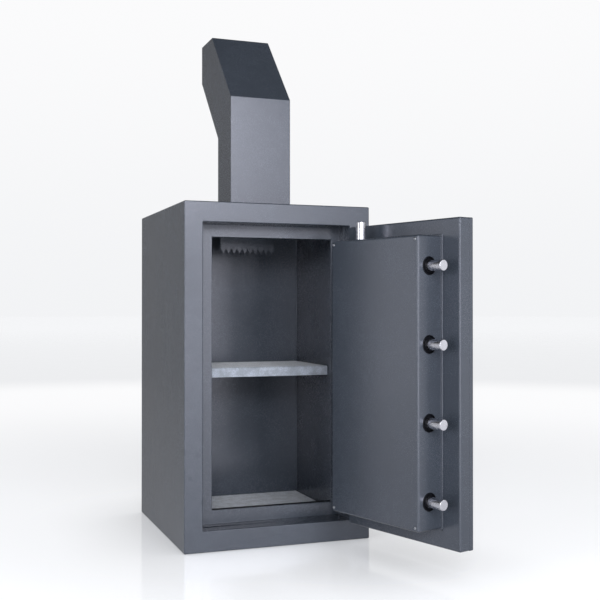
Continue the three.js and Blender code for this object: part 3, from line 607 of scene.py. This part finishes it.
class SAFE_OT_stage(Operator):
    """Lay the pale floor, light the safe and set up the camera"""

    bl_idname = "safe.stage"
    bl_label = "Floor, lamps and camera"

    def execute(self, context):
        stage = context.scene.safe_stage
        context.scene.view_settings.view_transform = "Standard"
        self.floor(stage)
        self.world(context.scene, stage)
        self.lamps(stage)
        self.camera(context.scene)
        return {"FINISHED"}

    def floor(self, stage):
        """A round floor, just below the safe."""
        rings, facets, level = (0.02, 1.0, 3.0, 6.0, 12.0, 60.0), 48, -0.3 * MM
        mesh = bmesh.new()
        rows = add_grid(mesh, [circle(r, facets, level) for r in rings], closed_rows=True)
        mesh.faces.new(rows[0])
        data = bpy.data.meshes.new("floor")
        mesh.to_mesh(data)
        mesh.free()
        if data.polygons[0].normal.z < 0:
            data.flip_normals()
        data.materials.append(self.floor_finish(stage))
        obj = add_object("floor", data)

    def floor_finish(self, stage):
        """Pale and even to the camera, with painted shade under the safe from an occlusion mask,
        and dimmer in mirrors.
        """
        made = bpy.data.materials.new("studio_floor")
        shader = Shader(made)
        far = shader.node("ShaderNodeVectorMath", {0: shader.place()}, "Value", operation="LENGTH")
        near = shader.mix(far.rise(1.0, 4.2), stage.floor, stage.edge)
        distant = shader.mix(far.rise(8.0, 28.0), shade(stage.horizon, 0.94), stage.horizon)
        pale = shader.mix(far.rise(4.6, 6.0), near, distant)
        haze = shader.noise(0.35, detail=3)
        seen, mirrored = shader.rays()
        # Painted shade: the glow the camera sees is darkened where the safe shelters the floor
        painted_contact_shade = shader.node("ShaderNodeAmbientOcclusion", {"Distance": 0.3}, "AO", samples=12)
        glow = (
            seen * (0.675 + far.rise(0.9, 3.5) * 0.065) * (0.25 + painted_contact_shade * 0.75)
            + mirrored * stage.mirrored_floor
        )
        shader.surface({
            "Base Color": shader.mix(haze * 0.1, pale, shade(stage.floor, 0.9)),
            "Metallic": seen * (0.5 - far.rise(0.5, 1.0) * 0.46),
            "Specular IOR Level": 0.25,
            "Roughness": 0.16 + haze * 0.05 - seen * 0.09,
            "Emission Color": shader.mix(glow, (0, 0, 0), pale),
            "Emission Strength": 1.0,
        })
        return made

    def world(self, scene, stage):
        """A pale backdrop, with levels of its own for the camera, for mirrors and for light."""
        scene.world = bpy.data.worlds.new("studio")
        shader = Shader(scene.world)
        direction = {0: shader.node("ShaderNodeTexCoord", output="Generated")}
        height = shader.node("ShaderNodeSeparateXYZ", direction, "Z")
        ahead = shader.node("ShaderNodeSeparateXYZ", direction, "Y")
        backdrop = shader.mix(height.rise(-0.05, 0.32), stage.horizon, stage.top)
        seen, mirrored = shader.rays()
        overhead = 1 - height.rise(0.1, 0.65) * 0.93
        bounced = (1 - seen - mirrored) * stage.ambient
        mirror_level = stage.mirrored + (0 - ahead).rise(0.5, 0.95) * stage.mirrored_front
        soft = seen + (mirrored * mirror_level + bounced) * overhead
        look = shader.node("ShaderNodeBackground", {"Color": backdrop, "Strength": soft})
        shader.node("ShaderNodeOutputWorld", {"Surface": look})

    def lamps(self, stage):
        """Rectangular lamps, each with its place, width and height, all turned to the safe."""
        aim = Vector((0.0, -0.1, 0.62))
        for setting, place, width, height in (
            ("front", (-0.6, -4.5, 2.0), 3.5, 1.1),
            ("front_middle", (-0.6, -4.5, 0.9), 3.5, 1.1),
            ("front_foot", (-0.6, -4.5, 0.25), 3.5, 0.4),
            ("front_right", (1.4, -4.3, 1.3), 1.0, 2.0),
            ("high", (-0.3, -3.2, 2.7), 2.0, 0.8),
            ("left", (-3.2, -1.5, 1.0), 0.8, 1.6),
            ("right", (2.4, -2.2, 1.0), 1.6, 2.0),
            ("left_rear", (-2.9, 1.3, 0.8), 1.4, 1.6),
        ):
            name, spot = f"{setting}_lamp", Vector(place)
            lamp = fill(
                bpy.data.lights.new(name, "AREA"), shape="RECTANGLE", size=width, size_y=height,
                energy=getattr(stage, setting), color=stage.lamp_colour,
            )
            add_object(name, lamp).matrix_world = pointing(spot - aim, spot)

    def camera(self, scene):
        """The camera as it was fitted to the corners of the body."""
        lens = fill(
            bpy.data.cameras.new("camera"), sensor_fit="HORIZONTAL", sensor_width=36,
            lens=58.786, clip_end=200,
        )
        scene.camera = fill(
            add_object("camera", lens), location=(-0.83625, -2.67856, 0.62129),
            rotation_euler=(radians(90.3921), 0, radians(-20.3411)),
        )


class SAFE_OT_cabinet(Operator):
    """Finish the body, the jamb, the lining and the filling"""

    bl_idname = "safe.cabinet"
    bl_label = "Cabinet"

    def execute(self, context):
        sizes = context.scene.safe_sizes
        dress("cabinet_shell", "paint", edge=sizes.body_edge, segments=3)
        dress("jamb_frame", "paint", edge=1.2 * MM)
        dress("inner_liner", "chamber_paint", edge=1.2 * MM)
        dress("cabinet_fill", "composite")
        self.seams()
        self.sill_strip()
        return {"FINISHED"}

    def seams(self):
        """The painted-over welds in the two rear corners of the chamber."""
        carpet, lining = Box("floor_carpet"), Box("inner_liner")
        gap, radius, out = 1.5 * MM, 2.2 * MM, 0.8 * MM
        rear = carpet.hi.y + gap - out
        top = lining.hi.z - 2 * MM
        sides = (carpet.lo.x - gap + out, carpet.hi.x + gap - out)
        paths = [upright(x, rear, carpet.lo.z, top) for x in sides]
        beads("lining_seams", "cabinet", paths, radius, finish="chamber_paint", ripple=7 * MM)

    def sill_strip(self):
        """A dark nylon strip along the back edge of the sill, put there as painted shade."""
        carpet, jamb = Box("floor_carpet"), Box("jamb_frame")
        radius, lift = 2.4 * MM, 0.2 * MM
        y = jamb.hi.y - radius
        z = carpet.lo.z + SILL_RISE + lift
        ends = (carpet.lo.x + JAMB_LEFT, carpet.hi.x - JAMB_RIGHT)
        path = [Vector((x, y, z)) for x in ends]
        # Painted shade: a dark strip where the sill's edge is only in shade
        beads("sill_strip", "cabinet", [path], radius, slot="nylon", ripple=20 * MM, uneven=0.0)


class SAFE_OT_gooseneck(Operator):
    """Finish the duct, its flap and its saw-tooth baffle, and weld it to the roof"""

    bl_idname = "safe.gooseneck"
    bl_label = "Gooseneck"

    def execute(self, context):
        sizes = context.scene.safe_sizes
        dress("gooseneck_housing", "paint", edge=1.7 * MM, segments=3)
        dress("fish_baffle", "chamber_paint", edge=0.5 * MM)
        dress("drop_flap", "steel", edge=0.4 * MM)
        self.weld(Box("cabinet_shell").hi.z, sizes.bead)
        self.pin(sizes.facets)
        return {"FINISHED"}

    def weld(self, roof, radius):
        """The bead where the duct goes through the roof."""
        duct = [v.co for v in NODES["gooseneck_housing"].data.vertices if v.co.z < roof]
        x = (min(p.x for p in duct), max(p.x for p in duct))
        y = (min(p.y for p in duct), max(p.y for p in duct))
        path = [Vector((a, b, roof)) for a, b in rectangle(*x, *y)]
        beads("duct_weld", "cabinet", [path], radius, closed=True)

    def pin(self, facets):
        box = Box("flap_pin")
        radius, half, chamfer = box.size.z / 2, box.size.x / 2, 0.6 * MM
        mesh = turned(barrel(0, radius, -half, half, chamfer), facets // 2)
        place = shift(box.middle) @ ALONG["x"]
        piece("flap_hinge_pin", mesh, "steel", "cabinet", place, ["flap_pin"])


class SAFE_OT_shelf(Operator):
    """Finish the shelf board and its four clips"""

    bl_idname = "safe.shelf"
    bl_label = "Shelf"

    def execute(self, context):
        dress("shelf_board", "chamber_paint", edge=0.6 * MM)
        for number in range(1, 5):
            dress(f"shelf_clip_{number}", "chamber_paint", edge=0.4 * MM)
        return {"FINISHED"}


class SAFE_OT_carpets(Operator):
    """Lay the carpet on the floor of the chamber, and wrap one over the shelf"""

    bl_idname = "safe.carpets"
    bl_label = "Carpets"

    STEP = 3.2 * MM  # from one vertex to the next

    def execute(self, context):
        sizes = context.scene.safe_sizes
        self.floor_carpet(sizes.pile)
        self.shelf_carpet(sizes.pile)
        return {"FINISHED"}

    def lay(self, name, run, left, right, thickness, pile, replaces, flat, rests_on):
        """A sheet along a run of (y, z, outward) places, drawn across from left to right."""
        tufts_per_metre, waves_per_metre = 420, 45
        mean, spread, worn_rim = 0.55, 0.45, 0.22
        columns = round((right - left) / self.STEP)
        top, under = [], []
        for y, z, out in run:
            above, below = [], []
            for i, x in enumerate(even(left, right, columns)):
                spot = Vector((x, y, z))
                tuft = noise.noise(spot * tufts_per_metre) + noise.noise(spot * waves_per_metre)
                drop = pile * (mean + spread * tuft / 2)
                if i in (0, columns):
                    drop += thickness * worn_rim
                above.append(spot - out * drop)
                below.append(spot - out * thickness)
            top.append(above)
            under.append(below)
        mesh = bmesh.new()
        upper = add_grid(mesh, top)
        lower = add_grid(mesh, under)
        for end in (0, -1):
            stitch(mesh, upper[end], lower[end])
        for side in (0, -1):
            stitch(mesh, [row[side] for row in upper], [row[side] for row in lower])
        obj = piece(name, mesh, "carpet", "cabinet", replaces=replaces, sharp=60)

    def flat_run(self, start, end, height):
        steps = round((end - start) / self.STEP)
        up = Vector((0, 0, 1))
        return [(y, height, up) for y in even(start, end, steps)]

    def floor_carpet(self, pile):
        box = Box("floor_carpet")
        run = self.flat_run(box.lo.y, box.hi.y, box.hi.z)
        self.lay(
            "chamber_carpet", run, box.lo.x, box.hi.x, box.size.z, pile,
            ["floor_carpet"], (box.size.x, box.size.y), ["inner_liner"],
        )

    def shelf_carpet(self, pile):
        """Up the front edge of the shelf, round its corner and back over its top."""
        box = Box("shelf_carpet")
        thickness = 3.92 * MM  # just within the solid's 4 mm
        radius, roll = 7.0 * MM, 8
        turn_y, turn_z = box.lo.y + radius, box.hi.z - radius
        steps, forward = round((turn_z - box.lo.z) / self.STEP), Vector((0, -1, 0))
        run = [(box.lo.y, z, forward) for z in even(box.lo.z, turn_z, steps)[:-1]]
        for angle in quarter(roll)[:-1]:
            out = Vector((0, -cos(angle), sin(angle)))
            run.append((turn_y + out.y * radius, turn_z + out.z * radius, out))
        run += self.flat_run(turn_y, box.hi.y, box.hi.z)
        self.lay(
            "shelf_wrap", run, box.lo.x, box.hi.x, thickness, pile,
            ["shelf_carpet"], (box.size.x, box.size.y + box.size.z), ["shelf_board"],
        )


class SAFE_OT_hinges(Operator):
    """Build the two outside hinges: leaf and knuckles, pin, and the cranked strap on the door"""

    bl_idname = "safe.hinges"
    bl_label = "Hinges"

    def execute(self, context):
        sizes = context.scene.safe_sizes
        for level in ("lower", "upper"):
            fixed = Box(f"hinge_frame_{level}")
            centre = Vector((HINGE.x, HINGE.y, fixed.middle.z))
            self.leaf(level, fixed, centre, sizes)
            self.pin(level, Box(f"hinge_pin_{level}"), centre, sizes.facets)
            self.strap(level, Box(f"hinge_strap_{level}", DOOR), centre, sizes)
        return {"FINISHED"}

    def knuckle(self, mesh, low, high, facets):
        bore, radius, chamfer = 5.5 * MM, 11 * MM, 0.9 * MM
        add_turned(mesh, barrel(bore, radius, low, high, chamfer), facets)

    def leaf(self, level, box, centre, sizes):
        """The fixed leaf: two knuckles, and a plate that is hollowed clear of the strap's."""
        half, gap = box.size.z / 2, 20.5 * MM
        thick, clear, steps = 6 * MM, 12 * MM, 8
        back, far = box.hi.y - centre.y, box.hi.x - centre.x
        face = back - thick
        mesh = bmesh.new()
        for low, high in ((-half, -gap), (gap, half)):
            self.knuckle(mesh, low, high, sizes.facets)
            add_prism(mesh, rectangle(0, far, face, back), low, high)
        turns = even(pi / 2, asin(face / clear), steps)
        hollow = [(clear * cos(a), clear * sin(a)) for a in turns]
        add_prism(mesh, [(0, back)] + hollow + [(far, face), (far, back)], -gap, gap)
        place = shift(centre)
        piece(
            f"hinge_leaf_{level}", mesh, "paint", "cabinet", place,
            [f"hinge_frame_{level}"], sizes.sheet_edge,
        )
        radius, sunk = sizes.bead * 0.7, 0.6 * MM
        path = upright(far - radius / 2, back - sunk, radius - half, half - radius)
        beads(f"hinge_weld_{level}", "cabinet", [path], radius, place)

    def pin(self, level, box, centre, facets):
        """A pin with a domed head at its foot."""
        low, high = box.lo.z - centre.z, box.hi.z - centre.z
        radius, head, dome, chamfer = 5 * MM, 7.5 * MM, 4 * MM, 0.8 * MM
        outline = [(head * sin(a), low + dome - dome * cos(a)) for a in quarter(8)]
        outline += [
            (radius, low + dome), (radius, high - chamfer), (radius - chamfer, high), (0, high),
        ]
        piece(
            f"hinge_bolt_{level}", turned(outline, facets), "steel", "cabinet",
            shift(centre), [f"hinge_pin_{level}"],
        )

    def strap(self, level, box, centre, sizes):
        """The door's knuckle and the cranked plate that runs from it to the slab."""
        half, thick = box.size.z / 2, 6 * MM
        end, foot = box.lo.x - centre.x, box.hi.y - centre.y
        crank = end + 52 * MM
        root, bend, inner, chamfer = -8 * MM, 5 * MM, 1.5 * MM, 0.8 * MM
        mesh = bmesh.new()
        self.knuckle(mesh, -half, half, sizes.facets)
        outline = [(root, -thick / 2), (root, thick / 2)]
        outline += self.corner((crank, thick / 2), (1, 0), (0, 1), inner)
        outline += [(crank, foot - chamfer), (crank - chamfer, foot), (end, foot)]
        outline += [(end, foot - thick)]
        outline += self.corner((crank - thick, foot - thick), (-1, 0), (0, -1), inner)
        outline += self.corner((crank - thick, -thick / 2), (0, 1), (1, 0), bend)
        add_prism(mesh, outline, -half, half)
        place = DOOR @ shift(centre)
        piece(
            f"hinge_arm_{level}", mesh, "paint", "door", place,
            [f"hinge_strap_{level}"], sizes.sheet_edge,
        )
        radius, y = sizes.bead * 0.7, foot - 0.5 * MM
        ends = (end + 2 * radius, crank - 2 * radius)
        paths = [[Vector((x, y, z)) for x in ends] for z in (-half, half)]
        paths.append(upright(end, y, radius - half, half - radius))
        beads(f"strap_weld_{level}", "door", paths, radius, place)

    def corner(self, at, back, ahead, radius):
        """Points of a rounded corner between the ways it comes from and goes to."""
        back, ahead = radius * Vector(back), radius * Vector(ahead)
        centre = Vector(at) + back + ahead
        return [tuple(centre - ahead * cos(a) - back * sin(a)) for a in quarter(5)]


class SAFE_OT_slab(Operator):
    """Finish the door's outer plate, its formed shell and its filling"""

    bl_idname = "safe.slab"
    bl_label = "Door slab"

    def execute(self, context):
        sizes = context.scene.safe_sizes
        dress("door_plate", "paint", sizes.sheet_edge)
        dress("door_shell", "paint", sizes.sheet_edge)
        dress("door_fill", "composite")
        return {"FINISHED"}


class SAFE_OT_pan(Operator):
    """Finish the bolt pan and its pillars, and build the screws that hold it"""

    bl_idname = "safe.pan"
    bl_label = "Bolt pan"

    def execute(self, context):
        sizes = context.scene.safe_sizes
        dress("bolt_pan", "paint", sizes.sheet_edge)
        for number in range(1, 5):
            self.screw(number)
            dress(f"pan_pillar_{number}", "steel", edge=0.3 * MM)
        self.foot(Box("bolt_pan", DOOR))
        return {"FINISHED"}

    def foot(self, box):
        """The rolled foot of the pan, along its four sides on the slab."""
        sides = rectangle(box.lo.x, box.hi.x, box.lo.z, box.hi.z)
        path, radius = [Vector((x, box.lo.y, z)) for x, z in sides], 1.6 * MM
        beads("pan_foot", "door", [path], radius, DOOR, closed=True, ripple=16 * MM, uneven=0.0)

    def screw(self, number):
        """A round-headed screw with a cross recess."""
        box = Box(f"pan_screw_{number}", DOOR)
        radius, shank, point = box.size.x / 2, 2.5 * MM, 0.8 * MM
        height, brim = 2.2 * MM, 0.5 * MM
        seat = box.size.y - height
        rings, facets = 22, 64
        rows = []
        for angle in quarter(rings)[1:]:
            level = seat + brim + (height - brim) * cos(angle)
            rows.append([
                spot + Vector((0, 0, level - self.recess(spot.x, spot.y, radius)))
                for spot in circle(radius * sin(angle), facets)
            ])
        for r, z in ((radius, seat), (shank, seat), (shank, point), (shank - point, 0)):
            rows.append(circle(r, facets, z))
        mesh = bmesh.new()
        add_capped(mesh, rows)
        spot = Vector((box.middle.x, box.lo.y, box.middle.z))
        piece(
            f"cover_screw_{number}", mesh, "steel", "door",
            DOOR @ shift(spot) @ ALONG["y"], [f"pan_screw_{number}"], sharp=50,
        )

    def recess(self, x, y, radius):
        """Depth of the cross at a place on the head."""
        arm, width, depth, slope = radius * 0.62, radius * 0.16, 1.1 * MM, 0.1 * MM
        inside = max(min(arm - abs(x), width - abs(y)), min(arm - abs(y), width - abs(x)))
        return depth * min(1.0, max(0.0, inside / slope + 0.5))


class SAFE_OT_bolts(Operator):
    """Build the chromed bolts and the black bushings that they slide in"""

    bl_idname = "safe.bolts"
    bl_label = "Bolts and bushings"

    def execute(self, context):
        facets = context.scene.safe_sizes.facets
        for number in range(1, 5):
            self.bolt(f"side_bolt_{number}", f"round_bolt_{number}", "side_bolts", "x", facets)
            self.bushing(f"bolt_bushing_{number}", f"bushing_{number}", "x", facets)
        self.bolt("top_bolt", "upright_bolt", "top_bolt", "down", facets)
        self.bushing("top_bolt_bushing", "upright_bushing", "down", facets)
        return {"FINISHED"}

    def place(self, box, way, inset=0.0):
        """Puts local Z along a bolt, from the end that it throws."""
        spot = Vector(box.middle)
        if way == "x":
            spot.x = box.lo.x + inset
        else:
            spot.z = box.hi.z - inset
        return DOOR @ shift(spot) @ ALONG[way]

    def bolt(self, node, name, body, way, facets):
        """A round bar with a rounded nose and a chamfered tail."""
        box = Box(node, DOOR)
        length = box.size.x if way == "x" else box.size.z
        radius, nose, flat = box.size.y / 2, 1.1 * MM, 0.3 * MM
        outline = [(0, 0), (radius - nose - flat, 0)]
        outline += [(radius - nose + nose * sin(a), nose - nose * cos(a)) for a in quarter(4)]
        outline += [(radius, length - nose), (radius - nose, length), (0, length)]
        piece(name, turned(outline, facets), "chrome", body, self.place(box, way), [node])

    def bushing(self, node, name, way, facets):
        """Flange behind the sheet, a dished face in its hole and a collar round the bolt."""
        outline = (
            (13.15, -0.6), (13.5, -1.0), (15.1, -1.0), (15.5, -0.6), (15.7, 2.4), (16.1, 2.8),
            (18.4, 2.8), (18.9, 2.4), (19.2, -0.6), (19.6, -1.0), (20.9, -1.0), (21.5, -0.4),
            (21.5, 3.3), (25.0, 3.3), (25.0, 6.3), (13.1, 6.3),
        )
        place = self.place(Box(node, DOOR), way, inset=1.0 * MM)
        mesh = turned(in_mm(outline), facets)
        piece(name, mesh, "nylon", "door", place, [node], sharp=50)


class SAFE_OT_boltwork(Operator):
    """Finish the guides, the bar, the link, the cam and the lock behind the pan"""

    bl_idname = "safe.boltwork"
    bl_label = "Boltwork"

    def execute(self, context):
        for node in ("bolt_guide", "top_bolt_guide", "bolt_bar", "top_bolt_link", "cam_plate",
                     "handle_spindle", "dial_spindle"):
            dress(node, "steel", edge=0.4 * MM)
        dress("lock_case", "steel", edge=0.3 * MM)
        return {"FINISHED"}


class SAFE_OT_handle(Operator):
    """Build the hub and the three spokes of the handle"""

    bl_idname = "safe.handle"
    bl_label = "Handle"

    def execute(self, context):
        facets = context.scene.safe_sizes.facets
        hub, proud = Box("handle_hub", DOOR), 0.3 * MM
        centre = Vector((hub.middle.x, hub.hi.y + proud, hub.middle.z))
        self.hub(centre, facets)
        for number in range(3):
            self.spoke(number, centre, facets)
        return {"FINISHED"}

    def hub(self, centre, facets):
        """A waisted hub on a round foot. Heights run from the door's face outward, below 0."""
        crown, width, shoulder, height = 13.6, 9.4, -31.0, 9.0
        outline = [(0, -39.2), (6.0, -39.2), (7.0, -40.0), (crown, -40.0)]
        outline += [(crown + width * sin(a), shoulder - height * cos(a)) for a in quarter(8)]
        outline += [
            (23.0, -19.5), (22.3, -18.2), (17.0, -14.2), (15.4, -12.4), (15.0, -10.0),
            (15.0, -5.5), (15.6, -4.2), (20.2, -1.9), (21.0, -1.3), (21.0, -0.3), (0, -0.3),
        ]
        piece(
            "hub", turned(in_mm(outline), facets), "chrome", "handle",
            DOOR @ shift(centre) @ ALONG["y"], ["handle_hub"], sharp=42,
        )

    def spoke(self, number, centre, facets):
        """A tapered rod with a ring below its round knob."""
        start, middle, knob, neck, steps = 13.3, 97.3, 12.0, 7.5, 18
        height = 26.2 * MM  # from the door's face
        outline = [(0, start), (6.0, start), (6.0, 30.0), (6.1, 45.0), (6.7, 66.0), (7.5, 80.0)]
        outline += [(8.6, 81.5), (9.0, 83.0), (8.6, 84.5), (7.6, 85.6)]
        widest = pi - asin(neck / knob)
        outline += [(knob * sin(a), middle + knob * cos(a)) for a in even(widest, 0, steps)[:-1]]
        outline += [(0, middle + knob)]
        turn = radians(90 + 120 * number)
        spot = centre - Vector((0, height, 0))
        direction = Vector((cos(turn), 0, sin(turn)))
        piece(
            f"spoke_{number + 1}", turned(in_mm(outline), facets), "chrome", "handle",
            DOOR @ pointing(direction, spot), [f"handle_spoke_{number + 1}"], sharp=42,
        )


class SAFE_OT_dial(Operator):
    """Build the dial ring, and the dial with its graduations and numbers"""

    bl_idname = "safe.dial"
    bl_label = "Dial"

    def execute(self, context):
        sizes = context.scene.safe_sizes
        ring, proud = Box("dial_ring", DOOR), 0.3 * MM
        centre = Vector((ring.middle.x, ring.hi.y + proud, ring.middle.z))
        self.place = DOOR @ shift(centre) @ ALONG["y"]
        self.ring(sizes.facets)
        self.wheel(sizes.facets)
        self.marks(sizes.dial_marks)
        self.numbers(sizes.number_height)
        return {"FINISHED"}

    def ring(self, facets):
        """The ring round the dial, and the two bars of the index mark on its face."""
        outline = (
            (39.5, -11.4), (40.1, -12.0), (43.6, -12.0), (44.4, -11.8), (49.4, -7.6),
            (50.0, -6.6), (50.0, -0.9), (49.4, -0.3), (39.5, -0.3),
        )
        mesh = turned(in_mm(outline), facets * 2)
        piece("bezel", mesh, "steel", "door", self.place, ["dial_ring"], sharp=42)
        mark, face = bmesh.new(), -12.0 * MM
        for low, high, half in ((40.6, 42.0, 0.45), (42.1, 43.5, 1.3)):
            bar = in_mm(rectangle(-half, half, -low, -high))
            add_prism(mark, bar, face - RELIEF, face + 0.1 * MM)
        piece("index_mark", mark, "nylon", "door", self.place, finish="enamel")

    def wheel(self, facets):
        """A bevelled disc with a fluted, slightly dished knob."""
        disc = (
            (0, -13.0), (31.2, -13.0), (32.0, -12.9), (38.4, -9.2), (39.0, -8.5), (39.0, -3.0),
            (0, -3.0),
        )
        mesh = bmesh.new()
        add_turned(mesh, in_mm(disc), facets * 2)
        # Radius, height and the flutes' depth
        knob = (
            (9.0, -38.9, 0.0), (12.4, -39.0, 0.0), (13.9, -38.6, 0.25), (14.8, -37.4, 0.25),
            (15.0, -36.0, 0.9), (14.6, -24.0, 0.9), (14.6, -18.0, 0.9), (15.2, -15.0, 0.0),
            (17.0, -13.2, 0.0), (17.4, -12.8, 0.0),
        )
        flutes, steps = 24, 12
        rows = []
        for radius, height, depth in knob:
            row = []
            for i in range(flutes * steps):
                a = 2 * pi * i / (flutes * steps)
                r = radius - depth * (0.5 - 0.5 * cos(flutes * a))
                row.append(Vector((r * cos(a), r * sin(a), height)) * MM)
            rows.append(row)
        add_capped(mesh, rows)
        piece("combination_dial", mesh, "nylon", "dial", self.place, ["dial"], sharp=50)

    def marks(self, count):
        """Graduations on the bevel, longer at each fifth and tenth."""
        radius, height, slope = 38.1 * MM, -9.37 * MM, atan2(3.7, 6.4)  # the bevel's foot
        tilt = shift((0, -radius, height)) @ Matrix.Rotation(slope, 4, "X")
        mesh = bmesh.new()
        for i in range(count):
            length = 5.0 if i % 10 == 0 else 4.0 if i % 5 == 0 else 2.8
            half = 0.28 if i % 10 == 0 else 0.18
            turn = Matrix.Rotation(2 * pi * i / count, 4, "Z")
            bar = in_mm(rectangle(-half, half, 0, length))
            add_prism(mesh, bar, -RELIEF, 0.12 * MM, turn @ tilt)
        piece("dial_graduations", mesh, "nylon", "dial", self.place, finish="enamel")

    def numbers(self, height):
        """Tens from 0 to 90, read from outside the door."""
        radius, face = 26.0 * MM, -13.0 * MM
        stand = shift((0, -radius, face)) @ ALONG["down"]
        mesh = bmesh.new()
        for ten in range(10):
            words = fill(
                bpy.data.curves.new("number", "FONT"), body=str(ten * 10), size=height,
                extrude=RELIEF, align_x="CENTER", align_y="CENTER", resolution_u=3,
            )
            holder = add_object("number", words)
            view = bpy.context.evaluated_depsgraph_get()
            shape = bpy.data.meshes.new_from_object(holder.evaluated_get(view))
            turn = Matrix.Rotation(2 * pi * ten / 10, 4, "Z")
            shape.transform(turn @ stand)
            mesh.from_mesh(shape)
            bpy.data.objects.remove(holder)
            bpy.data.curves.remove(words)
            bpy.data.meshes.remove(shape)
        piece("dial_numbers", mesh, "nylon", "dial", self.place, finish="enamel")


STEPS = (
    SAFE_OT_stage, SAFE_OT_cabinet, SAFE_OT_gooseneck, SAFE_OT_shelf, SAFE_OT_carpets,
    SAFE_OT_hinges, SAFE_OT_slab, SAFE_OT_pan, SAFE_OT_bolts, SAFE_OT_boltwork, SAFE_OT_handle,
    SAFE_OT_dial,
)


class SAFE_PT_panel(Panel):
    """Lists the settings and the steps that build the safe"""

    bl_idname = "SAFE_PT_panel"
    bl_label = "Gooseneck safe"
    bl_space_type = "VIEW_3D"
    bl_region_type = "UI"
    bl_category = "Safe"

    def draw(self, context):
        for group in SETTINGS:
            settings, box = getattr(context.scene, group), self.layout.box()
            box.label(text=group.replace("_", " ").capitalize())
            for name in settings.__annotations__:
                box.prop(settings, name)
        for step in STEPS:
            self.layout.operator(step.bl_idname)


SETTINGS = {"safe_finish": FinishSettings, "safe_sizes": SizeSettings, "safe_stage": StageSettings}
CLASSES = (*SETTINGS.values(), *STEPS, SAFE_PT_panel)


def register():
    for made in CLASSES:
        bpy.utils.register_class(made)
    for name, group in SETTINGS.items():
        setattr(bpy.types.Scene, name, PointerProperty(type=group))


def unregister():
    for name in SETTINGS:
        delattr(bpy.types.Scene, name)
    for made in reversed(CLASSES):
        bpy.utils.unregister_class(made)


def main():
    register()
    for step in STEPS:
        getattr(bpy.ops.safe, step.bl_idname.split(".")[1])()


if __name__ == "__main__":
    main()
